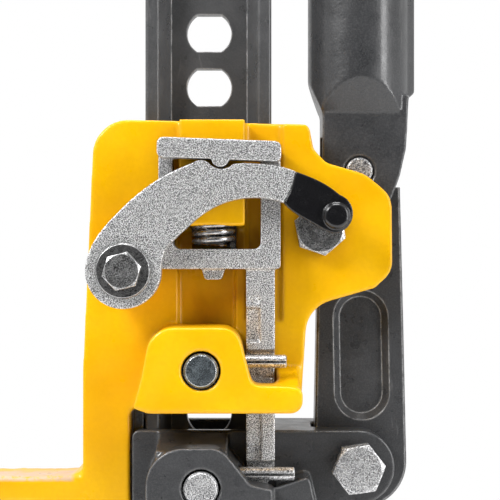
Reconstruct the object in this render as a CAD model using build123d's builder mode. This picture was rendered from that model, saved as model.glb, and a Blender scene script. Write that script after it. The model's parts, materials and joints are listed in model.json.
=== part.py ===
"""Rack jack with a lifting toe: holed bar, two climbing runners, hinged handle and its linkage.

Millimetres. +Z is up, +X runs from the bar towards the handle, -Y is the face with the climbing
pins. The origin is on the ground under the middle of the bar. Heights inside the mechanism are
counted from a datum at Z_MECH, by way of the planes that facing() gives.
"""

import os

from build123d import *

# ---------------------------------------------------------------- driving dimensions
PITCH = 22.0  # hole to hole along the bar
Z_MECH = 242.2  # height of the mechanism's datum with both runners at rest
BAR_X = 50.0  # bar, over the flanges' outer faces
BAR_Y = 30.0  # bar, along its flanges
WEB = 5.0
FLANGE_EDGE = 5.3
FLANGE_ROOT = 9.6
HOLE_D = 18.0
HOLE_FLAT = 15.0
BAR_FOOT_Z = 11.0
BAR_TOP_Z = 672.0
HOLE_COUNT = 30

CAVITY_X = 51.2  # inside of both collars round the bar
CAVITY_Y = 31.2
WALL_Y = 21.0  # outer face of the large runner's walls
SMALL_Y = 20.5  # outer face of the small runner's walls
BOSS_Y = 47.5  # front face of both pin bosses

PIN_D = 13.0
PIN_X = -1.8  # climbing pins sit a little left of the bar's middle
PIN_Z = -45.1  # upper climbing pin, below the datum
PIN_DROP = 2 * PITCH  # lower climbing pin, below the upper one
PIN_TIP_Y = -3.5  # tip of a pin drawn clear of the web
PIN_GUIDE_D = 13.12
PIN_MOUTH_D = 14.8
PIN_CHAMBER_D = 18.2
CROSS_D = 5.0
CROSS_Y = -35.8
CROSS_RISE_UPPER = 2.7  # cross pins sit above their climbing pins' axes
CROSS_RISE_LOWER = 4.0
CHAMBER_FRONT_Y = -44.0
CHAMBER_BACK_Y = -24.0

PIVOT = (43.7, 8.0)  # shear bolt, X and height over the datum
CRANK = (60.1, 31.5)  # pitman's upper pin
KNEE = (58.8, -85.2)  # pitman's lower bolt
BOLT_D = 12.0
BOLT_HOLE_D = 12.12
HEX_AF = 18.0
CRANK_PIN_D = 10.6
EAR_GAP_Y = 12.5  # inner face of the large runner's ears
CHEEK_OUT_Y = 12.0
CHEEK_IN_Y = 8.0
PITMAN_Y = 7.0

LEVER_PIVOT = (-31.2, -7.9)
LEVER_FRONT_Y = -42.9
LEVER_BACK_Y = -35.9
LEVER_BOLT_D = 8.0

SPRING_X = 2.4
SPRING_Y = -25.6
SPRING_BORE_R = 8.75
TONGUE_Y = -35.4

SOCKET_X = 60.4  # handle tube's axis
SOCKET_R = 20.35
SHEET = 4.0
TUBE_R = 16.3
TUBE_WALL = 2.2
HANDLE_TOP = 438.0  # over the datum

os.makedirs("parts", exist_ok=True)


# ---------------------------------------------------------------- helpers
def facing(depth):
    """Plane across the view at Y = depth: local x is X, local y is height over the datum."""
    return Plane((0, depth, Z_MECH), x_dir=(1, 0, 0), z_dir=(0, -1, 0))


def side(across):
    """Plane at X = across: local x is Y, local y is height over the datum, normal +X."""
    return Plane((across, 0, Z_MECH), x_dir=(0, 1, 0), z_dir=(1, 0, 0))


def level(height):
    """Plane at a height over the datum: local x is X, local y is Y."""
    return Plane.XY.offset(Z_MECH + height)


def outline(points, mode=Mode.ADD):
    """Face inside a straight outline through the points."""
    with BuildLine() as path:
        Polyline(*points, close=True)
    make_face(path.edges(), mode=mode)


def corners(sketch, places, radius):
    """Rounds the sketch's corners nearest to the places."""
    picked = []
    for place in places:
        picked.append(sketch.vertices().sort_by_distance(Vector(*place))[0])
    fillet(picked, radius)


def slab(x0, x1, z0, z1, back, front, mode=Mode.ADD):
    """Block between two X, two heights over the datum and two depths."""
    with Locations(((x0 + x1) / 2, (back + front) / 2, Z_MECH + (z0 + z1) / 2)):
        Box(x1 - x0, abs(front - back), z1 - z0, mode=mode)


def rod_along_y(x, z, diameter, back, front, mode=Mode.ADD):
    """Cylinder along Y at one place of the mechanism."""
    with Locations(Location((x, (back + front) / 2, Z_MECH + z), (90, 0, 0))):
        Cylinder(diameter / 2, abs(front - back), mode=mode)


def save(builder, name):
    """Labels a finished piece and writes its file."""
    builder.part.label = name
    export_step(builder.part, f"parts/{name}.step")


def hexagon_on(depth, x, z, across_flats, turn, thickness):
    """Hexagonal prism standing towards -Y from a plane, its rim chamfered like a bolt head."""
    rim = across_flats / 2
    with BuildSketch(facing(depth)) as prism:
        with Locations((x, z)):
            RegularPolygon(rim, 6, major_radius=False, rotation=turn)
    with BuildPart(mode=Mode.PRIVATE) as head:
        extrude(prism.sketch, amount=thickness)
        with Locations(Location((x, depth - thickness / 2, Z_MECH + z), (90, 0, 0))):
            Cone(rim * 0.96 + thickness * 1.7, rim * 0.96, thickness, mode=Mode.INTERSECT)
    add(head.part)


# ---------------------------------------------------------------- foot and bar
PLATE_X = 180.0
PLATE_Y = 114.0
PLATE_T = 6.0
BRACKET_TOP = 38.0
BRACKET_X = 46.0
BRACKET_IN_Y = 15.3
BRACKET_OUT_Y = 20.3
FOOT_BOLT_Z = PITCH

with BuildPart() as base_plate:
    with BuildSketch():
        RectangleRounded(PLATE_X, PLATE_Y, 12)
    extrude(amount=PLATE_T)
    fillet(base_plate.edges().filter_by(Plane.XY).group_by(Axis.Z)[-1], 1.5)
    for turn_side in (-1, 1):
        with Locations((turn_side * 56, 0, PLATE_T)):
            Box(40, 14, 5, align=(Align.CENTER, Align.CENTER, Align.MIN))
    with Locations((0, 0, PLATE_T)):
        Box(BRACKET_X, 2 * BRACKET_OUT_Y, BAR_FOOT_Z - PLATE_T, align=(Align.CENTER, Align.CENTER, Align.MIN))
    for wall_side in (-1, 1):
        wall_middle = wall_side * (BRACKET_IN_Y + BRACKET_OUT_Y) / 2
        with BuildSketch(Plane((0, wall_middle, 0), x_dir=(1, 0, 0), z_dir=(0, -1, 0))) as wall:
            with Locations((0, (BAR_FOOT_Z + BRACKET_TOP) / 2)):
                RectangleRounded(BRACKET_X, BRACKET_TOP - BAR_FOOT_Z, 9)
            with Locations((0, BAR_FOOT_Z + 6)):
                Rectangle(BRACKET_X, 12)
        extrude(amount=(BRACKET_OUT_Y - BRACKET_IN_Y) / 2, both=True)
    with Locations(Location((0, 0, FOOT_BOLT_Z), (90, 0, 0))):
        Cylinder(BOLT_HOLE_D / 2, 60, mode=Mode.SUBTRACT)
save(base_plate, "base_plate")

with BuildPart() as standard_bar:
    with BuildSketch(Plane.XY.offset(BAR_FOOT_Z)) as section:
        for edge_side in (-1, 1):
            outline(
                [
                    (0, edge_side * WEB / 2),
                    (BAR_X / 2 - FLANGE_ROOT, edge_side * WEB / 2),
                    (BAR_X / 2 - FLANGE_EDGE, edge_side * BAR_Y / 2),
                    (BAR_X / 2, edge_side * BAR_Y / 2),
                    (BAR_X / 2, 0),
                    (0, 0),
                ]
            )
        mirror(about=Plane.YZ)
        tips = section.vertices().group_by(Axis.Y)
        fillet(tips[0] + tips[-1], 1.4)
    extrude(amount=BAR_TOP_Z - BAR_FOOT_Z)
    with BuildSketch(Plane((0, 0, 0), x_dir=(1, 0, 0), z_dir=(0, -1, 0))):
        with Locations(*[(0, PITCH * (n + 1)) for n in range(HOLE_COUNT)]):
            Circle(HOLE_D / 2)
        with Locations((0, PITCH * (HOLE_COUNT + 1) / 2)):
            with GridLocations(0, PITCH, 1, HOLE_COUNT):
                Rectangle(HOLE_D + 2, HOLE_FLAT, mode=Mode.INTERSECT)
    extrude(amount=WEB, both=True, mode=Mode.SUBTRACT)
save(standard_bar, "standard_bar")


# ---------------------------------------------------------------- what both runners share
def pin_bores(pin_z, cross_rise, slot_end, back_wall):
    """Cuts a climbing pin's mouth, spring chamber and guide, and the cross pin's slot."""
    rod_along_y(PIN_X, pin_z, PIN_MOUTH_D, CHAMBER_FRONT_Y, -BOSS_Y - 1, Mode.SUBTRACT)
    rod_along_y(PIN_X, pin_z, PIN_CHAMBER_D, CHAMBER_BACK_Y, CHAMBER_FRONT_Y, Mode.SUBTRACT)
    rod_along_y(PIN_X, pin_z, PIN_GUIDE_D, back_wall, CHAMBER_BACK_Y, Mode.SUBTRACT)
    middle = pin_z + cross_rise
    slab(3, slot_end, middle - 2.9, middle + 2.9, -24.9, -38.8, Mode.SUBTRACT)


ROD_LEFT = 15.0
ROD_RIGHT = 26.0
ROD_BACK_Y = -21.5
ROD_THIN_Y = -25.0
ROD_THICK_Y = -33.0
ROD_PLAY = 0.7


def rod_way(z0, z1):
    """Cuts the passage that the reversing rod slides in."""
    slab(
        ROD_LEFT - ROD_PLAY,
        ROD_RIGHT + ROD_PLAY,
        z0,
        z1,
        ROD_BACK_Y + ROD_PLAY,
        ROD_THICK_Y - ROD_PLAY,
        Mode.SUBTRACT,
    )


# ---------------------------------------------------------------- large runner with the toe
RUNNER_TOP = 51.4
TOE_TOP = -88.0
TOE_BOTTOM = -118.0
TOE_TIP = -116.0
TOE_FILLET = 4.0
TOE_FLANGE = 9.5
TOE_POCKET = 8.0
COLUMN_LEFT = -49.0
COLUMN_RIGHT = -30.5
SHELF_BOTTOM = -61.0
SHELF_RIGHT = 36.2
WALL_RIGHT = 30.5

with BuildPart() as large_runner:
    # collar, ear and toe column share one outline across the full depth
    with BuildSketch(facing(WALL_Y)) as body:
        outline(
            [
                (-44.6, RUNNER_TOP),
                (39.6, RUNNER_TOP - 2.1),
                (41.4, 39.6),
                (46.4, 34.2),
                (61.8, 29.8),
                (72.0, 21.0),
                (72.3, -8.5),
                (65.4, -14.9),
                (39.0, -22.5),
                (36.5, SHELF_BOTTOM + 1),
                (COLUMN_RIGHT, SHELF_BOTTOM - 1),
                (COLUMN_RIGHT, TOE_BOTTOM),
                (COLUMN_LEFT, TOE_BOTTOM),
                (COLUMN_LEFT, -47.0),
            ]
        )
        corners(body, [(-44.6, RUNNER_TOP)], 14)
        corners(body, [(39.6, RUNNER_TOP - 2.1)], 3)
        corners(body, [(41.4, 39.6), (46.4, 34.2)], 3.5)
        corners(body, [(61.8, 29.8)], 14)
        corners(body, [(72.0, 21.0), (72.3, -8.5)], 9)
        corners(body, [(39.0, -22.5)], 13)
        corners(body, [(COLUMN_RIGHT, SHELF_BOTTOM - 1)], 3)
    extrude(amount=2 * WALL_Y)
    # toe: crowned tip, top face falling towards the back, web tapering below
    with BuildSketch(side(COLUMN_LEFT + 6)) as toe_section:
        outline(
            [
                (-WALL_Y, TOE_TOP),
                (WALL_Y, TOE_TOP - 3.5),
                (WALL_Y, TOE_BOTTOM),
                (-WALL_Y, TOE_BOTTOM),
            ]
        )
        corners(toe_section, [(-WALL_Y, TOE_TOP), (WALL_Y, TOE_TOP - 3.5)], 2)
    extrude(amount=TOE_TIP - COLUMN_LEFT - 6)
    with BuildSketch(facing(WALL_Y + 1)):
        outline([(TOE_TIP - 1, TOE_BOTTOM - 1), (TOE_TIP - 1, TOE_TOP - 14), (COLUMN_LEFT, TOE_BOTTOM - 1)])
    extrude(amount=2 * WALL_Y + 2, mode=Mode.SUBTRACT)
    with BuildSketch(facing(WALL_Y)):
        outline(
            [
                (TOE_TIP, TOE_TOP - 5),
                (TOE_TIP + 14, TOE_TOP - 5),
                (TOE_TIP + 10, TOE_TOP + 4),
                (TOE_TIP, TOE_TOP + 4),
            ]
        )
    extrude(amount=2 * WALL_Y)
    # fillet between the toe's top and the column
    with BuildSketch(facing(WALL_Y)):
        outline(
            [
                (COLUMN_LEFT + 1, TOE_TOP - 4),
                (COLUMN_LEFT + 1, TOE_TOP + TOE_FILLET),
                (COLUMN_LEFT, TOE_TOP + TOE_FILLET),
                (COLUMN_LEFT - TOE_FILLET, TOE_TOP),
                (COLUMN_LEFT - TOE_FILLET, TOE_TOP - 4),
            ]
        )
        with Locations((COLUMN_LEFT - TOE_FILLET, TOE_TOP + TOE_FILLET)):
            Circle(TOE_FILLET, mode=Mode.SUBTRACT)
    extrude(amount=2 * WALL_Y - 1.5)
    # flange along the toe, its web thinner on both sides
    for web_depth in (-WALL_Y + TOE_POCKET, WALL_Y + 1):
        with BuildSketch(facing(web_depth)):
            outline(
                [
                    (TOE_TIP - 1, TOE_TOP - TOE_FLANGE),
                    (COLUMN_LEFT - 6, TOE_TOP - TOE_FLANGE - 2),
                    (COLUMN_LEFT - 2, TOE_TOP - TOE_FLANGE - 7),
                    (COLUMN_LEFT - 2, TOE_BOTTOM - 1),
                    (TOE_TIP - 1, TOE_BOTTOM - 1),
                ]
            )
        extrude(amount=TOE_POCKET + 1, mode=Mode.SUBTRACT)
    # pin boss running into the shelf that guides the rod
    with BuildSketch(facing(0)) as boss:
        outline(
            [
                (-20.6, -29.0),
                (11.8, -28.8),
                (17.4, -50.4),
                (SHELF_RIGHT, -51.2),
                (SHELF_RIGHT, SHELF_BOTTOM),
                (-21.4, SHELF_BOTTOM - 0.1),
                (-27.4, -58.9),
                (-26.3, -56.5),
                (-23.8, -47.0),
            ]
        )
        corners(boss, [(-20.6, -29.0)], 10)
        corners(boss, [(11.8, -28.8)], 8)
        corners(boss, [(SHELF_RIGHT, -51.2)], 3)
        corners(boss, [(SHELF_RIGHT, SHELF_BOTTOM)], 4.5)
        corners(boss, [(17.4, -50.4), (-21.4, SHELF_BOTTOM - 0.1)], 3)
    extrude(amount=BOSS_Y)
    # shelf's top rising to the wall behind the rod
    with BuildSketch(side(ROD_RIGHT + 0.4)):
        outline([(-BOSS_Y + 4, -52.5), (-WALL_Y, -45.0), (-WALL_Y, -58), (-BOSS_Y + 4, -58)])
    extrude(amount=SHELF_RIGHT - ROD_RIGHT - 1.4)
    # housing of the rod's spring, and the pivot boss of the lever
    slab(-10.4, 14.6, 9.2, RUNNER_TOP - 1.6, -WALL_Y + 1, TONGUE_Y)
    rod_along_y(*LEVER_PIVOT, 22, -WALL_Y + 1, LEVER_BACK_Y + 0.3)
    # way for the bar, gap between the ears
    with Locations((0, 0, Z_MECH)):
        Box(CAVITY_X, CAVITY_Y, 400, mode=Mode.SUBTRACT)
    slab(WALL_RIGHT, 90, -80, 80, EAR_GAP_Y, -EAR_GAP_Y, Mode.SUBTRACT)
    # shallow pocket under the housing, spring bore open towards the bar
    with BuildSketch(facing(-18)):
        with Locations((-0.35, -15)):
            RectangleRounded(22.7, 44, 2.5)
    extrude(amount=4, mode=Mode.SUBTRACT)
    with Locations((SPRING_X, SPRING_Y, Z_MECH + 8)):
        Cylinder(
            SPRING_BORE_R,
            30,
            align=(Align.CENTER, Align.CENTER, Align.MIN),
            mode=Mode.SUBTRACT,
        )
    slab(SPRING_X - SPRING_BORE_R, SPRING_X + SPRING_BORE_R, -6.4, 38, -15, SPRING_Y, Mode.SUBTRACT)
    # channel behind the yoke's right leg, which leaves the ear's face standing proud
    slab(14.6, 29.4, -28, 51, -19.4, -22, Mode.SUBTRACT)
    rod_way(-80, -28)
    pin_bores(PIN_Z, CROSS_RISE_UPPER, 40, -14)
    for ear_side in (-1, 1):
        rod_along_y(*PIVOT, BOLT_HOLE_D, ear_side * 11, ear_side * 23, Mode.SUBTRACT)
    rod_along_y(*LEVER_PIVOT, LEVER_BOLT_D + 0.1, -19, -36, Mode.SUBTRACT)
save(large_runner, "large_runner")

# ---------------------------------------------------------------- small runner
SMALL_TOP = -70.6
SMALL_BOTTOM = -112.0
SMALL_GAP = 41.4
LOWER_PIN_Z = PIN_Z - PIN_DROP

with BuildPart() as small_runner:
    with BuildSketch(facing(SMALL_Y)) as collar:
        outline(
            [
                (-29.8, SMALL_TOP),
                (KNEE[0], KNEE[1] + 14.4),
                (KNEE[0], KNEE[1] - 14.4),
                (44.0, KNEE[1] - 14.4),
                (30.0, SMALL_BOTTOM),
                (-29.8, SMALL_BOTTOM),
            ]
        )
        corners(collar, [(-29.8, SMALL_TOP), (-29.8, SMALL_BOTTOM)], 3)
        corners(collar, [(44.0, KNEE[1] - 14.4), (30.0, SMALL_BOTTOM)], 6)
        with Locations(KNEE):
            Circle(14.4)
    extrude(amount=2 * SMALL_Y)
    with BuildSketch(facing(0)) as small_boss:
        outline(
            [
                (-22.4, -74.0),
                (5.8, -74.0),
                (16.6, -87.6),
                (25.0, -89.4),
                (25.0, -108.0),
                (-22.4, -108.0),
            ]
        )
        corners(small_boss, [(-22.4, -74.0)], 14)
        corners(small_boss, [(5.8, -74.0)], 8)
        corners(small_boss, [(-22.4, -108.0), (25.0, -108.0)], 6)
        corners(small_boss, [(16.6, -87.6)], 4)
    extrude(amount=BOSS_Y)
    # rib from the boss to the arm, its top edge rising towards the arm
    with BuildSketch(facing(-SMALL_Y + 1)) as rib:
        outline([(23.0, -91.5), (39.1, -86.1), (42.0, -99.0), (30.0, SMALL_BOTTOM), (23.0, -107.0)])
        corners(rib, [(39.1, -86.1)], 2)
    extrude(amount=17.5)
    # shoulder that leans back from the boss to the collar's top
    with BuildSketch(side(-19.0)):
        outline([(-BOSS_Y + 3.5, -75.4), (-SMALL_Y, -71.2), (-SMALL_Y, -80), (-BOSS_Y + 3.5, -80)])
    extrude(amount=27)
    # the collar's left wall stands higher than the rest
    slab(-29.8, -25.0, SMALL_TOP - 4, SHELF_BOTTOM - 2, 19, -14)
    with Locations((0, 0, Z_MECH)):
        Box(CAVITY_X, CAVITY_Y, 400, mode=Mode.SUBTRACT)
    # gap between the arms, where the pitman's lower end swings
    slab(SMALL_GAP, 90, -130, 0, CHEEK_IN_Y, -CHEEK_IN_Y, Mode.SUBTRACT)
    rod_way(-130, -60)
    pin_bores(LOWER_PIN_Z, CROSS_RISE_LOWER, ROD_RIGHT + 0.4, -14)
    rod_along_y(*KNEE, BOLT_HOLE_D, 22, -22, Mode.SUBTRACT)
save(small_runner, "small_runner")

# ---------------------------------------------------------------- climbing pins and their cross pins
CROSS_SLIT = 1.1


def climbing_pin(pin_z, cross_rise):
    """Pin with a chamfered face, a sloped lower tip and a cross hole."""
    with BuildPart() as pin:
        rod_along_y(PIN_X, pin_z, PIN_D, PIN_TIP_Y, -BOSS_Y)
        chamfer(pin.edges().filter_by(GeomType.CIRCLE).sort_by(Axis.Y)[0], 0.8)
        with BuildSketch(side(-10)) as ramp:
            outline(
                [
                    (PIN_TIP_Y + 1, pin_z - PIN_D / 2 - 1),
                    (PIN_TIP_Y + 1, pin_z - 1.5),
                    (PIN_TIP_Y - 6, pin_z - PIN_D / 2 - 1),
                ]
            )
        extrude(ramp.sketch, amount=20, mode=Mode.SUBTRACT)
        with Locations(Location((PIN_X, CROSS_Y, Z_MECH + pin_z + cross_rise), (0, 90, 0))):
            Cylinder(CROSS_D / 2, 40, mode=Mode.SUBTRACT)
    return pin


def cross_pin(pin_z, cross_rise, right_end):
    """Slotted spring pin through a climbing pin."""
    middle = Z_MECH + pin_z + cross_rise
    left_end = PIN_X - 6.0
    with BuildPart() as pin:
        with Locations(Location(((left_end + right_end) / 2, CROSS_Y, middle), (0, 90, 0))):
            Cylinder(CROSS_D / 2, right_end - left_end)
        chamfer(pin.edges().filter_by(GeomType.CIRCLE), 0.5)
        with Locations(Location(((left_end + right_end) / 2, CROSS_Y, middle), (0, 90, 0))):
            Cylinder(CROSS_D / 2 - 1.0, right_end - left_end, mode=Mode.SUBTRACT)
        with Locations(((left_end + right_end) / 2, CROSS_Y - CROSS_D / 2, middle)):
            Box(right_end - left_end, CROSS_D, CROSS_SLIT, mode=Mode.SUBTRACT)
    return pin


SPRING_WIRE = 1.5
SPRING_MEAN_R = 7.55


def coil(mean_radius, wire, length, turns, foot):
    """Open-wound wire spring along a plane's normal, standing on the plane's origin."""
    with BuildPart() as spring:
        with BuildLine() as path:
            Helix(
                pitch=length / turns,
                height=length,
                radius=mean_radius,
                center=foot.origin,
                direction=foot.z_dir,
            )
        begin = path.edges()[0]
        with BuildSketch(Plane(begin @ 0, z_dir=begin % 0)) as wire_face:
            Circle(wire / 2)
        sweep(wire_face.sketch, path=path.line, is_frenet=True)
    return spring


climbing_pin_upper = climbing_pin(PIN_Z, CROSS_RISE_UPPER)
save(climbing_pin_upper, "climbing_pin_upper")
climbing_pin_lower = climbing_pin(LOWER_PIN_Z, CROSS_RISE_LOWER)
save(climbing_pin_lower, "climbing_pin_lower")
cross_pin_upper = cross_pin(PIN_Z, CROSS_RISE_UPPER, 30.4)
save(cross_pin_upper, "cross_pin_upper")
cross_pin_lower = cross_pin(LOWER_PIN_Z, CROSS_RISE_LOWER, 33.5)
save(cross_pin_lower, "cross_pin_lower")
for place, pin_z in (("upper", PIN_Z), ("lower", LOWER_PIN_Z)):
    seat = Plane((PIN_X, -39.2, Z_MECH + pin_z), x_dir=(1, 0, 0), z_dir=(0, -1, 0))
    pin_spring = coil(SPRING_MEAN_R, SPRING_WIRE, 3.9, 2, seat)
    save(pin_spring, f"climbing_pin_spring_{place}")

# ---------------------------------------------------------------- reversing yoke, lever and spring
YOKE_LEFT = -18.5
YOKE_RIGHT = 28.2
YOKE_TOP = 42.0
YOKE_SLOPE = 1.8  # the head falls by this much from left to right
BAR_UNDER = 35.0
YOKE_FRONT_Y = -43.4
YOKE_SHELF_Y = -35.9
CROSSBAR = (-7.3, 0.4)
ROD_END = -91.0
BUMP = (5.3, 34.5)
BUMP_R = 3.3

with BuildPart() as reversing_yoke:
    # cast window: two legs, a cross bar and a head, thickened towards the front at the head
    with BuildSketch(facing(-22)) as window:
        outline(
            [
                (YOKE_LEFT, YOKE_TOP),
                (YOKE_RIGHT, YOKE_TOP - YOKE_SLOPE),
                (YOKE_RIGHT, CROSSBAR[0]),
                (YOKE_LEFT, CROSSBAR[0]),
            ]
        )
        corners(window, [(YOKE_LEFT, YOKE_TOP), (YOKE_RIGHT, YOKE_TOP - YOKE_SLOPE)], 2.4)
        corners(window, [(YOKE_LEFT, CROSSBAR[0]), (YOKE_RIGHT, CROSSBAR[0])], 1.6)
        with Locations((3.8, 20.4)):
            RectangleRounded(33.6, 40, 2.6, mode=Mode.SUBTRACT)
    extrude(amount=12.4)
    with BuildSketch(facing(YOKE_SHELF_Y + 2)) as head:
        outline(
            [
                (YOKE_LEFT, YOKE_TOP + 0.6),
                (YOKE_RIGHT, YOKE_TOP + 0.6 - YOKE_SLOPE),
                (YOKE_RIGHT, BAR_UNDER - YOKE_SLOPE),
                (YOKE_LEFT, BAR_UNDER),
            ]
        )
        corners(head, [(YOKE_LEFT, YOKE_TOP + 0.6), (YOKE_RIGHT, YOKE_TOP + 0.6 - YOKE_SLOPE)], 2.4)
        corners(head, [(YOKE_LEFT, BAR_UNDER), (YOKE_RIGHT, BAR_UNDER - YOKE_SLOPE)], 2.0)
        with Locations(BUMP):
            Circle(BUMP_R)
    extrude(amount=2 + YOKE_SHELF_Y - YOKE_FRONT_Y)
    slab(-11.0, 15.2, 8, 60, -20, YOKE_SHELF_Y, Mode.SUBTRACT)
    # tongue below the cross bar
    with BuildSketch(facing(-22)) as tab:
        outline([(-2.2, -7), (6.9, -7), (5.6, -11.4), (-0.9, -11.4)])
        corners(tab, [(5.6, -11.4), (-0.9, -11.4)], 1.2)
    extrude(amount=8)
    # rod: thick where it holds the cross pins back, thin where they may spring in
    with BuildSketch(side(ROD_LEFT)):
        outline(
            [
                (ROD_BACK_Y, -6),
                (ROD_THICK_Y, -6),
                (ROD_THICK_Y, -38.2),
                (ROD_THIN_Y, -39.5),
                (ROD_THIN_Y, -50.0),
                (ROD_THICK_Y, -53.5),
                (ROD_THICK_Y, -80.8),
                (ROD_THIN_Y, -82.2),
                (ROD_THIN_Y, ROD_END),
                (ROD_BACK_Y, ROD_END),
            ]
        )
    extrude(amount=ROD_RIGHT - ROD_LEFT)
    # ramped pocket and ejector mark on the rod's left half, step lower down
    with BuildSketch(side(ROD_LEFT - 1)):
        outline(
            [
                (ROD_THICK_Y - 1, -21.5),
                (ROD_THICK_Y + 1.2, -22.5),
                (ROD_THICK_Y + 4.6, -35.2),
                (ROD_THICK_Y - 1, -35.2),
            ]
        )
    extrude(amount=20.4 - ROD_LEFT + 1, mode=Mode.SUBTRACT)
    slab(ROD_LEFT - 1, 20.8, -75.0, -54.0, ROD_THICK_Y + 1.2, ROD_THICK_Y - 1, Mode.SUBTRACT)
    slab(ROD_LEFT - 1, 20.8, -90.0, -75.0, ROD_THICK_Y + 2.2, ROD_THICK_Y - 1, Mode.SUBTRACT)
    rod_along_y(18.2, -19.0, 3.8, ROD_THICK_Y + 0.6, ROD_THICK_Y - 1, Mode.SUBTRACT)
    rod_along_y(18.2, -19.0, 2.2, ROD_THICK_Y + 1, ROD_THICK_Y)
    # rod narrowed and tapered where it ends
    with BuildSketch(facing(-20)):
        outline(
            [
                (ROD_RIGHT + 1, -84),
                (ROD_RIGHT - 0.2, -84),
                (ROD_RIGHT - 3, ROD_END - 1),
                (ROD_RIGHT + 1, ROD_END - 1),
            ]
        )
    extrude(amount=20, mode=Mode.SUBTRACT)
save(reversing_yoke, "reversing_yoke")

YOKE_WIRE = 2.2
spring_seat = Plane((SPRING_X, SPRING_Y, Z_MECH + CROSSBAR[1] + YOKE_WIRE / 2 + 0.35))
yoke_spring = coil(7.35, YOKE_WIRE, 33.6, 12, spring_seat)
save(yoke_spring, "yoke_spring")

CAP_LINE = ((33.8, 29.4), (32.0, 23.0), (29.3, 17.7))
with BuildPart() as reversing_lever:
    with BuildSketch(facing(LEVER_BACK_Y)):
        with BuildLine():
            outer = Spline(
                (-44.9, -3.7),
                (-35.4, 11.8),
                (-18.6, 26.2),
                (-5.0, 32.8),
                tangents=((0.25, 1), (1, 0.4)),
            )
            shoulder = ThreePointArc(outer @ 1, (-1.9, 33.8), (0.8, 32.9))
            notch = ThreePointArc(shoulder @ 1, (5.3, 30.5), (10.2, 32.4))
            Spline(notch @ 1, (20.5, 32.4), CAP_LINE[0], tangents=((1, 0.1), (1, -0.45)))
            Polyline(*CAP_LINE)
            inner = Spline(
                CAP_LINE[2],
                (15.5, 19.6),
                (0.0, 14.3),
                (-12.4, 3.5),
                (-17.4, -10.2),
                tangents=((-1, 0.35), (-0.1, -1)),
            )
            Line(inner @ 1, (-31.2, -7.9))
            Line((-31.2, -7.9), outer @ 0)
        make_face()
        with Locations(LEVER_PIVOT):
            Circle(14.3)
    extrude(amount=LEVER_BACK_Y - LEVER_FRONT_Y)
    # spike that the cap is moulded round
    with BuildSketch(facing(LEVER_BACK_Y - 1.5)):
        outline([(32, 27), (30.5, 20), (44, 14), (48, 12), (48, 18), (42, 22)])
    extrude(amount=4)
    rod_along_y(*LEVER_PIVOT, LEVER_BOLT_D + 0.1, -30, -45, Mode.SUBTRACT)
save(reversing_lever, "reversing_lever")

with BuildPart() as lever_cap:
    with BuildSketch(facing(LEVER_BACK_Y)):
        with BuildLine():
            upper = Spline(CAP_LINE[0], (43.4, 25.4), (50.0, 20.8), tangents=((1, -0.35), (0.8, -0.75)))
            tip = ThreePointArc(upper @ 1, (55.1, 12.8), (48.6, 6.3))
            Spline(tip @ 1, (41.2, 9.4), CAP_LINE[2], tangents=((-1, 0.1), (-0.6, 0.8)))
            Polyline(CAP_LINE[2], CAP_LINE[1], CAP_LINE[0])
        make_face()
    extrude(amount=7.4)
    rod_along_y(48.9, 12.8, 9.6, LEVER_BACK_Y - 6, LEVER_BACK_Y - 9.9)
    fillet(lever_cap.faces().sort_by(Axis.Y)[0].edges(), 1.4)
    with BuildSketch(facing(LEVER_BACK_Y - 1.5)):
        outline([(32, 27), (30.5, 20), (44, 14), (48, 12), (48, 18), (42, 22)])
    extrude(amount=4, mode=Mode.SUBTRACT)
save(lever_cap, "lever_cap")

with BuildPart() as lever_washer:
    rod_along_y(*LEVER_PIVOT, 21, LEVER_FRONT_Y - 0.15, LEVER_FRONT_Y - 1.75)
    chamfer(lever_washer.faces().sort_by(Axis.Y)[0].edges(), 0.5)
    rod_along_y(*LEVER_PIVOT, LEVER_BOLT_D + 0.4, -40, -46, Mode.SUBTRACT)
save(lever_washer, "lever_washer")

with BuildPart() as lever_bolt:
    hexagon_on(LEVER_FRONT_Y - 1.75, *LEVER_PIVOT, 13, 14, 5.3)
    rod_along_y(*LEVER_PIVOT, LEVER_BOLT_D, -19.5, LEVER_FRONT_Y - 2)
save(lever_bolt, "lever_bolt")

# ---------------------------------------------------------------- handle: socket, tube, grip
SOCKET_TOP = 190.0
FACET_TOP = 69.0
FACET_FOOT = 54.5
RING_FOOT = 61.0
LEFT_FOOT = 46.0
CROSS_BOLT = 150.0
HEM_LEFT = 79.5
HEM_RIGHT = 83.2


def flattened(radius, half_gap):
    """Tube pressed to two flats at its lower end: a cylinder cut by a wedge-like side profile."""
    with BuildPart() as shape:
        with Locations((SOCKET_X, 0, Z_MECH + 30)):
            Cylinder(radius, SOCKET_TOP - 30, align=(Align.CENTER, Align.CENTER, Align.MIN))
        with BuildSketch(side(0)) as wedge:
            outline(
                [
                    (-half_gap, 0),
                    (-half_gap, FACET_FOOT),
                    (-radius - 0.5, FACET_TOP),
                    (-radius - 0.5, 300),
                    (radius + 0.5, 300),
                    (radius + 0.5, FACET_TOP),
                    (half_gap, FACET_FOOT),
                    (half_gap, 0),
                ]
            )
        extrude(wedge.sketch, amount=120, mode=Mode.INTERSECT)
    return shape.part


def pressed_side(left):
    """Room to the right of the line that the tube's left side is pressed in to."""
    with BuildPart() as room:
        with BuildSketch(facing(30)) as room_face:
            outline(
                [
                    (left, 300),
                    (left, FACET_TOP - 1.5),
                    (left + 5.4, FACET_FOOT),
                    (left + 5.4, 0),
                    (120, 0),
                    (120, 300),
                ]
            )
        extrude(room_face.sketch, amount=60)
    return room.part


socket_skin = flattened(SOCKET_R, CHEEK_OUT_Y) & pressed_side(SOCKET_X - SOCKET_R)
socket_core = flattened(SOCKET_R - SHEET, CHEEK_IN_Y) & pressed_side(SOCKET_X - SOCKET_R + SHEET)

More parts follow.
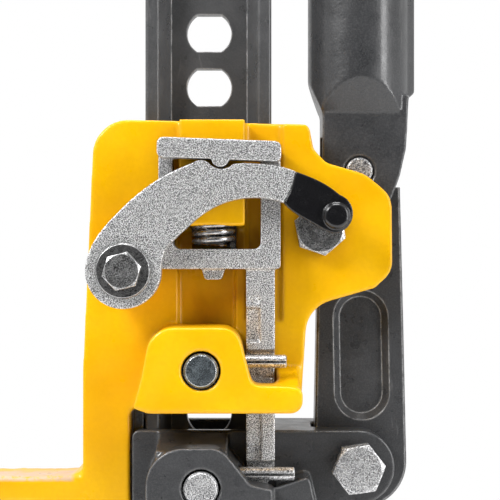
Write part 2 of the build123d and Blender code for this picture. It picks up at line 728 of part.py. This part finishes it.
with BuildPart() as handle_socket:
    add(socket_skin)
    slab(0, 120, 0, LEFT_FOOT, -40, 40, Mode.SUBTRACT)
    # the side towards the pitman's swing is open higher up
    slab(SOCKET_X + 2, 120, 0, RING_FOOT, -CHEEK_IN_Y, CHEEK_IN_Y, Mode.SUBTRACT)
    # hem of the rolled sheet, standing proud along the tube
    with BuildSketch(level(RING_FOOT)):
        outline([(HEM_LEFT, -6.5), (HEM_RIGHT, -2.0), (HEM_RIGHT, 4.5), (HEM_LEFT, 4.5)])
    extrude(amount=SOCKET_TOP - RING_FOOT)
    with BuildSketch(facing(6)):
        outline(
            [
                (HEM_LEFT + 0.5, RING_FOOT),
                (HEM_RIGHT + 0.5, RING_FOOT),
                (HEM_RIGHT + 0.5, RING_FOOT + 3),
            ]
        )
    extrude(amount=14, mode=Mode.SUBTRACT)
    add(socket_core, mode=Mode.SUBTRACT)
    # cheeks down to the shear bolt and the crank pin, right edges bent round
    for cheek_side in (-1, 1):
        cheek_depth = -CHEEK_IN_Y if cheek_side < 0 else CHEEK_OUT_Y
        with BuildSketch(facing(cheek_depth)) as cheek:
            outline(
                [
                    (45.45, FACET_FOOT),
                    (45.45, 34.0),
                    (32.6, 13.0),
                    (48.0, -3.2),
                    (69.4, 15.5),
                    (73.2, 21.2),
                    (76.2, 29.3),
                    (78.8, 40.7),
                    (79.5, FACET_FOOT),
                    (79.9, RING_FOOT + 1),
                    (76.2, RING_FOOT + 1),
                    (76.2, FACET_FOOT),
                ]
            )
            corners(cheek, [(45.45, 34.0)], 10)
            with Locations(PIVOT):
                Circle(12.4)
            with Locations(CRANK):
                Circle(13.6)
        extrude(amount=CHEEK_OUT_Y - CHEEK_IN_Y)
    rod_along_y(*PIVOT, BOLT_HOLE_D, -15, 15, Mode.SUBTRACT)
    rod_along_y(*CRANK, CRANK_PIN_D + 0.1, -15, 15, Mode.SUBTRACT)
    for recess_side in (-1, 1):
        floor_depth = recess_side * (CHEEK_OUT_Y - 1.6)
        rod_along_y(*CRANK, CRANK_PIN_D + 1.7, floor_depth, recess_side * 15, Mode.SUBTRACT)
    rod_along_y(SOCKET_X, CROSS_BOLT, 8.4, -30, 30, Mode.SUBTRACT)
save(handle_socket, "handle_socket")

TUBE_FOOT = 74.0
with BuildPart() as handle_tube:
    with BuildSketch(level(TUBE_FOOT)):
        with Locations((SOCKET_X, 0)):
            Circle(TUBE_R)
            Circle(TUBE_R - TUBE_WALL, mode=Mode.SUBTRACT)
    extrude(amount=HANDLE_TOP - 4 - TUBE_FOOT)
    rod_along_y(SOCKET_X, CROSS_BOLT, 8.4, -30, 30, Mode.SUBTRACT)
save(handle_tube, "handle_tube")

GRIP_LENGTH = 125.0
with BuildPart() as handle_grip:
    with BuildSketch(level(HANDLE_TOP - GRIP_LENGTH)):
        with Locations((SOCKET_X, 0)):
            Circle(TUBE_R + 3.4)
    extrude(amount=GRIP_LENGTH)
    for groove in range(9):
        with Locations((SOCKET_X, 0, Z_MECH + HANDLE_TOP - GRIP_LENGTH + 14 + groove * 12)):
            Torus(TUBE_R + 3.9, 1.6, mode=Mode.SUBTRACT)
    fillet(handle_grip.faces().sort_by(Axis.Z)[-1].edges(), 2.5)
    with Locations((SOCKET_X, 0, Z_MECH + HANDLE_TOP - GRIP_LENGTH)):
        Cylinder(
            TUBE_R + 0.02,
            GRIP_LENGTH - 4,
            align=(Align.CENTER, Align.CENTER, Align.MIN),
            mode=Mode.SUBTRACT,
        )
save(handle_grip, "handle_grip")

with BuildPart() as socket_bolt:
    hexagon_on(-SOCKET_R - 0.1, SOCKET_X, CROSS_BOLT, 13, 0, 5.3)
    rod_along_y(SOCKET_X, CROSS_BOLT, 8, SOCKET_R + 9, -SOCKET_R - 1)
save(socket_bolt, "socket_bolt")

with BuildPart() as socket_nut:
    hexagon_on(SOCKET_R + 6.6, SOCKET_X, CROSS_BOLT, 13, 10, 6.5)
    rod_along_y(SOCKET_X, CROSS_BOLT, 8.1, 0, 40, Mode.SUBTRACT)
save(socket_nut, "socket_nut")

# ---------------------------------------------------------------- pitman and its pivots
RECESS_MIDDLE = (61.2, -42.2)
RECESS_LENGTH = 52.3
RECESS_WIDTH = 22.1
RECESS_DEPTH = 3.0

with BuildPart() as pitman:
    with BuildSketch(facing(PITMAN_Y)) as bar_face:
        outline(
            [
                (50.7, 43.0),
                (69.5, 43.0),
                (76.8, 26.0),
                (78.2, -30.0),
                (79.4, -85.0),
                (42.3, -85.0),
                (43.8, -9.0),
                (50.7, -1.5),
            ]
        )
        corners(bar_face, [(50.7, 43.0), (69.5, 43.0)], 5)
        corners(bar_face, [(76.8, 26.0), (50.7, -1.5)], 6)
        corners(bar_face, [(43.8, -9.0)], 3)
        with Locations((60.85, -85)):
            Circle(18.55)
    extrude(amount=2 * PITMAN_Y)
    chamfer(pitman.faces().filter_by(Axis.Y).edges(), 0.7)
    # oblong recess with sloped walls on both faces
    for face_side in (-1, 1):
        depth = face_side * PITMAN_Y
        rim_plane = Plane((0, depth, Z_MECH), x_dir=(1, 0, 0), z_dir=(0, -1, 0))
        with BuildSketch(rim_plane):
            with Locations(RECESS_MIDDLE):
                SlotOverall(RECESS_LENGTH, RECESS_WIDTH, rotation=91)
        with BuildSketch(rim_plane.offset(face_side * RECESS_DEPTH)):
            with Locations(RECESS_MIDDLE):
                SlotOverall(RECESS_LENGTH - 5.2, RECESS_WIDTH - 5.2, rotation=91)
        loft(mode=Mode.SUBTRACT)
    # open eye: the crank pin leaves it sideways during the stroke
    slab(CRANK[0], 90, CRANK[1] - 6.3, CRANK[1] + 7.5, -10, 10, Mode.SUBTRACT)
    rod_along_y(*CRANK, CRANK_PIN_D + 1.0, -10, 10, Mode.SUBTRACT)
    rod_along_y(*KNEE, BOLT_HOLE_D, -10, 10, Mode.SUBTRACT)
save(pitman, "pitman")

with BuildPart() as crank_pin:
    rod_along_y(*CRANK, CRANK_PIN_D, CHEEK_OUT_Y + 0.3, -CHEEK_OUT_Y - 0.3)
    chamfer(crank_pin.edges().filter_by(GeomType.CIRCLE), 0.6)
save(crank_pin, "crank_pin")

with BuildPart() as shear_bolt:
    hexagon_on(-WALL_Y, *PIVOT, HEX_AF, 41, 7)
    rod_along_y(*PIVOT, BOLT_D, WALL_Y + 11, -WALL_Y - 1)
save(shear_bolt, "shear_bolt")

with BuildPart() as shear_nut:
    hexagon_on(WALL_Y + 9, *PIVOT, HEX_AF, 12, 9)
    rod_along_y(*PIVOT, BOLT_D + 0.1, 0, 50, Mode.SUBTRACT)
save(shear_nut, "shear_nut")

with BuildPart() as pitman_bolt:
    hexagon_on(-SMALL_Y, *KNEE, HEX_AF, 8, 7)
    rod_along_y(*KNEE, BOLT_D, SMALL_Y + 11, -SMALL_Y - 1)
save(pitman_bolt, "pitman_bolt")

with BuildPart() as pitman_nut:
    hexagon_on(SMALL_Y + 9, *KNEE, HEX_AF, 27, 9)
    rod_along_y(*KNEE, BOLT_D + 0.1, 0, 50, Mode.SUBTRACT)
save(pitman_nut, "pitman_nut")

# ---------------------------------------------------------------- foot bolt and top clamp
FOOT_Z = FOOT_BOLT_Z - Z_MECH
with BuildPart() as foot_bolt:
    hexagon_on(-BRACKET_OUT_Y, 0, FOOT_Z, HEX_AF, 0, 7)
    rod_along_y(0, FOOT_Z, BOLT_D, BRACKET_OUT_Y + 11, -BRACKET_OUT_Y - 1)
save(foot_bolt, "foot_bolt")

with BuildPart() as foot_nut:
    hexagon_on(BRACKET_OUT_Y + 9, 0, FOOT_Z, HEX_AF, 15, 9)
    rod_along_y(0, FOOT_Z, BOLT_D + 0.1, 0, 50, Mode.SUBTRACT)
save(foot_nut, "foot_nut")

CLAMP_LOW = 622.0
CLAMP_HIGH = 706.0
CLAMP_X = 27.0
CLAMP_T = 6.0
CLAMP_EYE_Z = 691.0
CLAMP_BOLTS = (PITCH * 29, PITCH * 30)
CLAMP_BOLT_D = 10.0

for place, clamp_side in (("front", -1), ("rear", 1)):
    with BuildPart() as clamp_half:
        with BuildSketch(facing(clamp_side * (WEB / 2 + 0.1 + CLAMP_T / 2))):
            with Locations((0, (CLAMP_LOW + CLAMP_HIGH) / 2 - Z_MECH)):
                RectangleRounded(CLAMP_X, CLAMP_HIGH - CLAMP_LOW, 11)
        extrude(amount=CLAMP_T / 2, both=True)
        outer_face = clamp_half.faces().filter_by(Axis.Y).sort_by(Axis.Y)[0 if clamp_side < 0 else -1]
        fillet(outer_face.edges(), 1.5)
        for bolt_z in CLAMP_BOLTS:
            rod_along_y(0, bolt_z - Z_MECH, CLAMP_BOLT_D + 0.2, -20, 20, Mode.SUBTRACT)
        rod_along_y(0, CLAMP_EYE_Z - Z_MECH, 13, -20, 20, Mode.SUBTRACT)
    save(clamp_half, f"top_clamp_{place}")

clamp_face = WEB / 2 + 0.1 + CLAMP_T
with BuildPart() as clamp_bolts:
    for bolt_z in CLAMP_BOLTS:
        hexagon_on(-clamp_face, 0, bolt_z - Z_MECH, 16, 11, 6.4)
        rod_along_y(0, bolt_z - Z_MECH, CLAMP_BOLT_D, clamp_face + 10, -clamp_face - 1)
save(clamp_bolts, "clamp_bolts")

with BuildPart() as clamp_nuts:
    for bolt_z in CLAMP_BOLTS:
        hexagon_on(clamp_face + 8, 0, bolt_z - Z_MECH, 16, 5, 8)
    for bolt_z in CLAMP_BOLTS:
        rod_along_y(0, bolt_z - Z_MECH, CLAMP_BOLT_D + 0.1, 0, 50, Mode.SUBTRACT)
save(clamp_nuts, "clamp_nuts")
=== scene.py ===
"""Looks of the rack jack: cast, pressed and zinc-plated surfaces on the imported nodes."""

import json
import math

import bpy
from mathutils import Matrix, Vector, noise


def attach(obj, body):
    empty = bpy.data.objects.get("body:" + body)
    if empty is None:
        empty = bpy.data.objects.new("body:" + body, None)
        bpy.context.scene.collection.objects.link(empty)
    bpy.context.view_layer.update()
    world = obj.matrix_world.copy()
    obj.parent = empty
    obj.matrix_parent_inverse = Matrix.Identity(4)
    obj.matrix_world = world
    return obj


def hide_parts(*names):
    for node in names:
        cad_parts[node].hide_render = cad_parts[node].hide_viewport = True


MM = 0.001

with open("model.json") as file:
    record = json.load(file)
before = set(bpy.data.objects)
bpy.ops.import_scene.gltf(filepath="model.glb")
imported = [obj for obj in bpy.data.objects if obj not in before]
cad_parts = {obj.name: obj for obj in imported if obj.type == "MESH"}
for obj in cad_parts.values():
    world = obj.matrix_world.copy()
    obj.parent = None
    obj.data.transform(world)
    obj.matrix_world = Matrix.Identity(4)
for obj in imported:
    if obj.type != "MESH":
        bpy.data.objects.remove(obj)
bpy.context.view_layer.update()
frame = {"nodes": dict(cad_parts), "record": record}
nodes = frame["nodes"]

PIVOT_RISE = 8.0 * MM  # of the shear bolt above the mechanism's datum
joints = {joint["name"]: joint for joint in frame["record"]["behaviour"]["joints"]}
MECHANISM_Z = joints["handle_hinge"]["pos_m"][2] - PIVOT_RISE
mounts = {mount["name"]: mount for mount in frame["record"]["mounts"]}
TOE_FACE = mounts["toe_face"]["pos_m"]
TOE_ROOT_X = -52.0 * MM  # where the toe leaves its column


# ---------------------------------------------------------------- camera
CAMERA_AWAY = 550 * MM
CAMERA_X = 16.5 * MM
FOCAL_LENGTH = 97.3  # of the lens, in mm
SENSOR_WIDTH = 36  # in mm
CLIP_START = 10 * MM


def place_camera():
    """Level close-up of the mechanism, square to the bar's face."""
    data = bpy.data.cameras.new("camera")
    data.lens = FOCAL_LENGTH
    data.sensor_width = SENSOR_WIDTH
    data.clip_start = CLIP_START
    camera = bpy.data.objects.new("camera", data)
    bpy.context.scene.collection.objects.link(camera)
    camera.location = (CAMERA_X, -CAMERA_AWAY, MECHANISM_Z)
    camera.rotation_euler = (math.radians(90), 0, 0)
    bpy.context.scene.camera = camera


place_camera()
bpy.context.scene.view_settings.view_transform = "Standard"


# ---------------------------------------------------------------- material kit
COAT_ROUGHNESS = 0.12
EDGE_SAMPLES = 6
CREVICE_SAMPLES = 8
FLAT = 0.995  # cosine between the true and the rounded normal where an edge starts to show
OPEN = 0.85  # share of open sky where the painted shade in corners starts to show
CLOSED = 0.25  # and where it shows in full


class Surface:
    """A procedural material being built. Its texture space is the frame at rest, in metres."""

    def __init__(self, name, metallic=0.0, coat=0.0):
        self.material = bpy.data.materials.new(name)
        self.material.use_nodes = True
        self.tree = self.material.node_tree
        self.shader = self.tree.nodes["Principled BSDF"]
        self.shader.inputs["Metallic"].default_value = metallic
        self.shader.inputs["Coat Weight"].default_value = coat
        self.shader.inputs["Coat Roughness"].default_value = COAT_ROUGHNESS
        self.place = self.tree.nodes.new("ShaderNodeTexCoord").outputs["Object"]

    def put(self, value, socket):
        """Links an output to a socket, or sets a constant on it."""
        if isinstance(value, bpy.types.NodeSocket):
            self.tree.links.new(value, socket)
        else:
            socket.default_value = value

    def noise(self, per_metre, detail=3.0, rough=0.55, stretch=(1, 1, 1), distortion=0.0):
        """Noise with about that many lumps in a metre."""
        mapping = self.tree.nodes.new("ShaderNodeMapping")
        mapping.inputs["Scale"].default_value = stretch
        self.put(self.place, mapping.inputs["Vector"])
        node = self.tree.nodes.new("ShaderNodeTexNoise")
        self.put(mapping.outputs["Vector"], node.inputs["Vector"])
        node.inputs["Scale"].default_value = per_metre
        node.inputs["Detail"].default_value = detail
        node.inputs["Roughness"].default_value = rough
        node.inputs["Distortion"].default_value = distortion
        return node.outputs["Fac"]

    def ramp(self, value, low, high, start=0.0, end=1.0):
        """Value between low and high, stretched to run from start to end."""
        node = self.tree.nodes.new("ShaderNodeMapRange")
        self.put(value, node.inputs["Value"])
        node.inputs["From Min"].default_value = low
        node.inputs["From Max"].default_value = high
        node.inputs["To Min"].default_value = start
        node.inputs["To Max"].default_value = end
        return node.outputs["Result"]

    def times(self, first, second):
        """Product of two values."""
        node = self.tree.nodes.new("ShaderNodeMath")
        node.operation = "MULTIPLY"
        self.put(first, node.inputs[0])
        self.put(second, node.inputs[1])
        return node.outputs[0]

    def blend(self, amount, first, second):
        """Colour between two colours."""
        node = self.tree.nodes.new("ShaderNodeMix")
        node.data_type = "RGBA"
        self.put(amount, node.inputs["Factor"])
        for value, socket in ((first, node.inputs[6]), (second, node.inputs[7])):
            self.put(value if isinstance(value, bpy.types.NodeSocket) else (*value, 1), socket)
        return node.outputs[2]

    def tint(self, body, amount, most, colour):
        """Body turned towards a colour by an amount from 0 to 1, of which most is the full share."""
        return self.blend(self.times(amount, most), body, colour)

    def rounded(self, radius):
        """Normal of the surface with its sharp edges rounded off."""
        node = self.tree.nodes.new("ShaderNodeBevel")
        node.samples = EDGE_SAMPLES
        node.inputs["Radius"].default_value = radius
        return node.outputs["Normal"]

    def edges(self, radius, sharp=0.93):
        """1 where the rounded normal turns away to the cosine sharp, 0 on flat stretches."""
        bevel = self.rounded(radius)
        geometry = self.tree.nodes.new("ShaderNodeNewGeometry")
        dot = self.tree.nodes.new("ShaderNodeVectorMath")
        dot.operation = "DOT_PRODUCT"
        self.put(bevel, dot.inputs[0])
        self.put(geometry.outputs["Normal"], dot.inputs[1])
        return self.ramp(dot.outputs["Value"], FLAT, sharp)

    def crevice_shade(self, reach):
        """Mask of painted shade: 1 in deep corners, 0 on open stretches."""
        node = self.tree.nodes.new("ShaderNodeAmbientOcclusion")
        node.samples = CREVICE_SAMPLES
        node.inputs["Distance"].default_value = reach
        return self.ramp(node.outputs["AO"], OPEN, CLOSED)

    def bump(self, height, depth, strength=1.0, under=None):
        """Normal of a surface whose height, from 0 to 1, spans that depth in metres."""
        node = self.tree.nodes.new("ShaderNodeBump")
        node.inputs["Distance"].default_value = depth
        node.inputs["Strength"].default_value = strength
        self.put(height, node.inputs["Height"])
        if under is not None:
            self.put(under, node.inputs["Normal"])
        return node.outputs["Normal"]

    def finish(self, colour, roughness, normal):
        """The material, with these on its shader. The colour comes from blend."""
        self.put(colour, self.shader.inputs["Base Color"])
        self.put(roughness, self.shader.inputs["Roughness"])
        self.put(normal, self.shader.inputs["Normal"])
        return self.material


WORN_FROM = 1.2 * MM  # the coat's wear starts this far below the toe's face
WORN_FULLY = 0.2 * MM  # is full from this far below it
WORN_UP_TO = 4 * MM  # and ends this far above it
WEAR_FADE_OUT = 1 * MM
WEAR_FADE_SIDE = 2 * MM


def bare_toe_top(s):
    """1 on the top edge of the toe, 0 further down and on the column that the toe grows from."""
    spot = s.tree.nodes.new("ShaderNodeSeparateXYZ")
    s.put(s.place, spot.inputs["Vector"])
    high = s.ramp(spot.outputs["Z"], TOE_FACE[2] - WORN_FROM, TOE_FACE[2] - WORN_FULLY)
    not_column = s.ramp(spot.outputs["X"], TOE_ROOT_X, TOE_ROOT_X - WEAR_FADE_SIDE)
    worn_top = TOE_FACE[2] + WORN_UP_TO
    below = s.ramp(spot.outputs["Z"], worn_top, worn_top - WEAR_FADE_OUT)
    return s.times(s.times(high, not_column), below)


def yellow_coat():
    """Gloss powder coat on a casting: orange peel, faint tone drift, painted shade in its crevices,
    edges partly worn and partly given a painted highlight, bare rough top of the toe.
    """
    s = Surface("toe_paint", coat=0.15)
    s.shader.inputs["Specular IOR Level"].default_value = 0.3
    drift = s.ramp(s.noise(28, 2), 0.3, 0.7)
    body = s.blend(drift, (0.86, 0.42, 0.0), (1.0, 0.55, 0.001))
    fine = s.ramp(s.noise(520, 3), 0.35, 0.65)
    body = s.tint(body, fine, 0.14, (0.72, 0.30, 0.0))
    # Painted shade: the colour turns dark brown in corners and recesses.
    body = s.tint(body, s.crevice_shade(14 * MM), 0.45, (0.34, 0.14, 0.0))
    # Lighter yellow on the edges, in patches: partly wear, partly a painted highlight.
    worn = s.times(s.edges(0.7 * MM), s.ramp(s.noise(160, 4), 0.42, 0.62))
    body = s.tint(body, worn, 0.3, (1.0, 0.70, 0.10))
    bare = s.times(bare_toe_top(s), s.ramp(s.noise(420, 4, 0.7), 0.30, 0.50))
    body = s.tint(body, bare, 0.8, (0.60, 0.46, 0.38))
    roughness = s.ramp(s.noise(90, 3), 0.3, 0.7, 0.26, 0.42)
    peel = s.bump(s.noise(620, 2), 0.12 * MM, 0.4, s.rounded(0.6 * MM))
    waves = s.bump(s.noise(70, 2), 0.6 * MM, 0.25, peel)
    return s.finish(body, roughness, waves)


def dark_coat(name, deep, light):
    """Satin dark grey powder coat with fine scuffs, slight ripples and bright edges, partly worn
    paint and partly a painted highlight.
    """
    s = Surface(name, coat=0.25)
    drift = s.ramp(s.noise(35, 3), 0.3, 0.7)
    body = s.blend(drift, deep, light)
    grain = s.ramp(s.noise(1700, 2), 0.42, 0.66)
    body = s.tint(body, grain, 0.3, (0.12, 0.12, 0.122))
    blotch = s.ramp(s.noise(110, 5, 0.7), 0.5, 0.75)
    body = s.tint(body, blotch, 0.2, (0.028, 0.029, 0.030))
    scuff = s.ramp(s.noise(300, 5, 0.7, (1, 1, 0.12), 1.2), 0.62, 0.74)
    body = s.tint(body, scuff, 0.3, (0.24, 0.24, 0.24))
    # Light grey on the edges, in patches: partly worn paint, partly a painted highlight.
    edge = s.times(s.edges(0.9 * MM, 0.95), s.ramp(s.noise(260, 4), 0.30, 0.55))
    body = s.tint(body, edge, 0.75, (0.50, 0.50, 0.50))
    roughness = s.ramp(s.noise(140, 4), 0.3, 0.7, 0.24, 0.42)
    peel = s.bump(s.noise(900, 3), 0.10 * MM, 0.5, s.rounded(0.7 * MM))
    ripples = s.bump(s.noise(260, 3, 0.55, (0.4, 0.4, 1.0)), 0.4 * MM, 0.35, peel)
    return s.finish(body, roughness, ripples)


def zinc_casting():
    """Zinc over a casting: fine bright and dark grains, and a painted highlight along the edges."""
    s = Surface("zinc_cast", metallic=0.55)
    grain = s.noise(2700, 2, 0.8)
    speck = s.ramp(grain, 0.46, 0.54)
    body = s.blend(speck, (0.02, 0.02, 0.022), (1.0, 1.0, 1.0))
    coarse_tone = s.ramp(s.noise(420, 3, 0.6), 0.35, 0.65, 0.0, 0.15)
    body = s.blend(coarse_tone, body, (0.40, 0.40, 0.40))
    # Painted highlight: near white along the edges.
    body = s.tint(body, s.edges(0.6 * MM), 0.8, (0.97, 0.97, 0.97))
    roughness = s.ramp(grain, 0.3, 0.7, 0.55, 0.32)
    fine = s.bump(grain, 0.16 * MM, 0.7, s.rounded(0.5 * MM))
    coarse = s.bump(s.noise(700, 3), 0.3 * MM, 0.4, fine)
    return s.finish(body, roughness, coarse)


def plated_steel(name, metallic, dark, light):
    """Zinc-plated steel: satin, finely mottled, with a painted highlight along the edges."""
    s = Surface(name, metallic=metallic)
    grain = s.noise(2000, 3, 0.75)
    body = s.blend(s.ramp(grain, 0.46, 0.56), dark, light)
    smear = s.ramp(s.noise(330, 4, 0.7), 0.45, 0.70, 0.0, 0.5)
    body = s.blend(smear, body, light)
    # Painted highlight: near white along the edges.
    body = s.tint(body, s.edges(0.5 * MM), 0.9, (0.99, 0.99, 0.99))
    roughness = s.ramp(s.noise(450, 3), 0.3, 0.7, 0.20, 0.40)
    normal = s.bump(grain, 0.1 * MM, 0.5, s.rounded(0.4 * MM))
    return s.finish(body, roughness, normal)


def spring_steel():
    """Dark oil-tempered wire with die marks."""
    s = Surface("spring_steel", metallic=0.9)
    tone = s.ramp(s.noise(500, 3), 0.3, 0.7)
    body = s.blend(tone, (0.30, 0.30, 0.31), (0.62, 0.62, 0.63))
    roughness = s.ramp(s.noise(700, 3), 0.3, 0.7, 0.20, 0.36)
    return s.finish(body, roughness, s.bump(s.noise(1500, 2), 0.05 * MM, 0.4))


def black_rubber():
    """Gloss moulded rubber with faint dust."""
    s = Surface("black_rubber", coat=0.5)
    dust = s.ramp(s.noise(800, 4, 0.7), 0.58, 0.75)
    body = s.tint((0.006, 0.006, 0.007), dust, 0.2, (0.05, 0.05, 0.05))
    roughness = s.ramp(s.noise(250, 3), 0.3, 0.7, 0.16, 0.30)
    return s.finish(body, roughness, s.bump(s.noise(900, 2), 0.05 * MM, 0.3, s.rounded(0.8 * MM)))


# ---------------------------------------------------------------- finish of each node
finishes = {
    "toe_paint": yellow_coat(),
    "bar_paint": dark_coat("bar_paint", (0.052, 0.053, 0.055), (0.085, 0.086, 0.089)),
    "zinc_cast": zinc_casting(),
    "zinc_steel": plated_steel("zinc_steel", 0.6, (0.08, 0.08, 0.09), (0.92, 0.92, 0.92)),
    "spring_steel": spring_steel(),
    "black_rubber": black_rubber(),
}
handle_coat = dark_coat("handle_paint", (0.026, 0.027, 0.029), (0.046, 0.047, 0.050))
ground_steel = plated_steel("ground_steel", 0.85, (0.05, 0.06, 0.07), (0.32, 0.37, 0.40))
head_steel = plated_steel("head_steel", 0.85, (0.06, 0.06, 0.06), (0.60, 0.60, 0.60))
washer_steel = plated_steel("washer_steel", 0.7, (0.07, 0.07, 0.07), (0.22, 0.22, 0.22))
# nodes whose finish differs in tone from the rest of their material
own_tone = {
    "small_runner": handle_coat,
    "pitman": handle_coat,
    "handle_socket": handle_coat,
    "handle_tube": handle_coat,
    "climbing_pin_upper": ground_steel,
    "lever_bolt": head_steel,
    "shear_bolt": head_steel,
    "lever_washer": washer_steel,
}
slot_of = {part["node"]: part["material_slot"] for part in frame["record"]["subparts"]}
body_of = {
    node: body
    for body, members in frame["record"]["behaviour"]["bodies"].items()
    for node in members
}


def paint(piece, node_name):
    """Gives a node's finish to the node, or to the piece that stands in for it."""
    piece.data.materials.clear()
    piece.data.materials.append(own_tone.get(node_name, finishes[slot_of[node_name]]))


for name, node in nodes.items():
    paint(node, name)


# ---------------------------------------------------------------- softened castings and pressings
# voxel, rounds of smoothing and share of the triangles kept, for each node that is softened
SOFTNESS = {
    "large_runner": (0.8 * MM, 6, 0.4),
    "small_runner": (0.6 * MM, 4, 0.4),
    "reversing_yoke": (0.4 * MM, 3, 0.5),
    "reversing_lever": (0.4 * MM, 3, 0.5),
    "lever_cap": (0.3 * MM, 6, 0.6),
    "handle_socket": (0.7 * MM, 6, 0.4),
}
RIDGED_BELOW = 6 * MM  # the toe's ridges start this far below its face
RIDGED_ABOVE = 3 * MM  # and end this far above it
RIDGED_X = TOE_ROOT_X - 1 * MM
RIDGE_RISE = 4 * MM  # height over which the ridges grow to their depth
RIDGE_RUN = 8 * MM  # and length over which they do, away from the column
RIDGE_DEPTH = 0.8 * MM
RIDGES = (210, 45)  # lumps in a metre along X and along Y
SCRATCH_DEPTH = 0.3 * MM
SCRATCHES = (480, 160)
BORE_CLEAR_R = 6.3 * MM  # the shear bolt's radius and a little air


def apply_modifiers(piece):
    """Turns a piece's modifiers into its mesh."""
    graph = bpy.context.evaluated_depsgraph_get()
    mesh = bpy.data.meshes.new_from_object(piece.evaluated_get(graph))
    piece.modifiers.clear()
    piece.data = mesh


def soften(node_name, voxel, rounds, keep):
    """Copy of a CAD node with rounded edges, standing in for the node."""
    piece = bpy.data.objects.new(node_name + "_casting", nodes[node_name].data.copy())
    bpy.context.scene.collection.objects.link(piece)
    remesh = piece.modifiers.new("remesh", "REMESH")
    remesh.mode = "VOXEL"
    remesh.voxel_size = voxel
    smooth = piece.modifiers.new("smooth", "SMOOTH")
    smooth.factor = 0.5
    smooth.iterations = rounds
    thin = piece.modifiers.new("thin", "DECIMATE")
    thin.ratio = keep
    apply_modifiers(piece)
    paint(piece, node_name)
    for polygon in piece.data.polygons:
        polygon.use_smooth = True
    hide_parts(node_name)
    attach(piece, body_of[node_name])
    return piece


def wear(place, depth, lumps, layer):
    """Lumpy depth of the wear at a place, from 0 to that depth. Each layer has its own lumps."""
    spot = Vector((place.x * lumps[0], place.y * lumps[1], layer))
    return depth * (0.5 + 0.5 * noise.noise(spot))


def roughen_toe(casting):
    """Wears ridges into the bare top edge of the toe, always downwards."""
    for vertex in casting.data.vertices:
        place = vertex.co
        risen = place.z - (TOE_FACE[2] - RIDGED_BELOW)
        if place.x > RIDGED_X or risen < 0 or risen > RIDGED_BELOW + RIDGED_ABOVE:
            continue
        grown = min(1.0, risen / RIDGE_RISE) * min(1.0, (RIDGED_X - place.x) / RIDGE_RUN)
        worn = wear(place, RIDGE_DEPTH, RIDGES, 0) + wear(place, SCRATCH_DEPTH, SCRATCHES, 7)
        place.z -= grown * worn


def open_bore(casting, x, z, radius):
    """Keeps a softened casting's bore along Y clear of the bolt in it."""
    for vertex in casting.data.vertices:
        across = Vector((vertex.co.x - x, vertex.co.z - z))
        if 0 < across.length < radius:
            across.length = radius
            vertex.co.x = x + across.x
            vertex.co.z = z + across.y


castings = {name: soften(name, *softness) for name, softness in SOFTNESS.items()}
roughen_toe(castings["large_runner"])
hinge_x, _, hinge_z = joints["handle_hinge"]["pos_m"]
open_bore(castings["handle_socket"], hinge_x, hinge_z, BORE_CLEAR_R)


# ---------------------------------------------------------------- floor, world and lights
FLOOR_RADIUS = 0.7
FLOOR_CORNERS = 96
FRONT_LEVEL = 0.05  # brightness of the surroundings straight in front of the jack
SIDE_LEVEL = 0.75  # and at its sides
FRONT_DARK_FROM = -0.92  # Y of the direction where the dark front starts to lift
FRONT_DARK_TO = -0.05  # and where it has reached the sides' level
AIM = (0.02, 0.0, MECHANISM_Z)
# place, measured up from the mechanism's datum, then width, height and watts
SOFTBOXES = {
    "key": ((-0.62, -0.55, 0.60), 0.32, 0.32, 9),
    "fill": ((0.90, -0.55, 0.15), 0.22, 0.9, 6.5),
    "top": ((0.05, -0.10, 1.0), 0.5, 0.5, 8),
}


def lay_floor():
    """Pale round floor under the foot plate."""
    bpy.ops.mesh.primitive_circle_add(vertices=FLOOR_CORNERS, radius=FLOOR_RADIUS, fill_type="NGON")
    floor = bpy.context.object
    floor.name = "floor"
    s = Surface("floor_paint")
    tone = s.blend(s.ramp(s.noise(6, 3), 0.3, 0.7), (0.80, 0.80, 0.80), (0.86, 0.86, 0.86))
    floor.data.materials.append(s.finish(tone, 0.6, s.bump(s.noise(300, 2), 0.1 * MM, 0.1)))


def light_world():
    """White surroundings. What only lights and reflects is dark in front, bright at the sides."""
    world = bpy.data.worlds.new("studio")
    bpy.context.scene.world = world
    world.use_nodes = True
    tree = world.node_tree
    background = tree.nodes["Background"]
    background.inputs["Color"].default_value = (1, 1, 1, 1)
    away = tree.nodes.new("ShaderNodeTexCoord")
    split = tree.nodes.new("ShaderNodeSeparateXYZ")
    tree.links.new(away.outputs["Generated"], split.inputs["Vector"])
    front = tree.nodes.new("ShaderNodeMapRange")
    front.interpolation_type = "SMOOTHSTEP"
    front.inputs["From Min"].default_value = FRONT_DARK_FROM
    front.inputs["From Max"].default_value = FRONT_DARK_TO
    front.inputs["To Min"].default_value = FRONT_LEVEL
    front.inputs["To Max"].default_value = SIDE_LEVEL
    tree.links.new(split.outputs["Y"], front.inputs["Value"])
    path = tree.nodes.new("ShaderNodeLightPath")
    strength = tree.nodes.new("ShaderNodeMix")
    strength.inputs["B"].default_value = 1.0
    tree.links.new(path.outputs["Is Camera Ray"], strength.inputs["Factor"])
    tree.links.new(front.outputs["Result"], strength.inputs["A"])
    tree.links.new(strength.outputs["Result"], background.inputs["Strength"])


def softbox(name, place, width, height, watts):
    """Rectangular area light aimed at the mechanism."""
    data = bpy.data.lights.new(name, "AREA")
    data.shape = "RECTANGLE"
    data.size = width
    data.size_y = height
    data.energy = watts
    lamp = bpy.data.objects.new(name, data)
    bpy.context.scene.collection.objects.link(lamp)
    lamp.location = Vector(place) + Vector((0, 0, MECHANISM_Z))
    lamp.rotation_euler = (Vector(AIM) - lamp.location).to_track_quat("-Z", "Y").to_euler()


lay_floor()
light_world()
for name, (place, width, height, watts) in SOFTBOXES.items():
    softbox(name, place, width, height, watts)
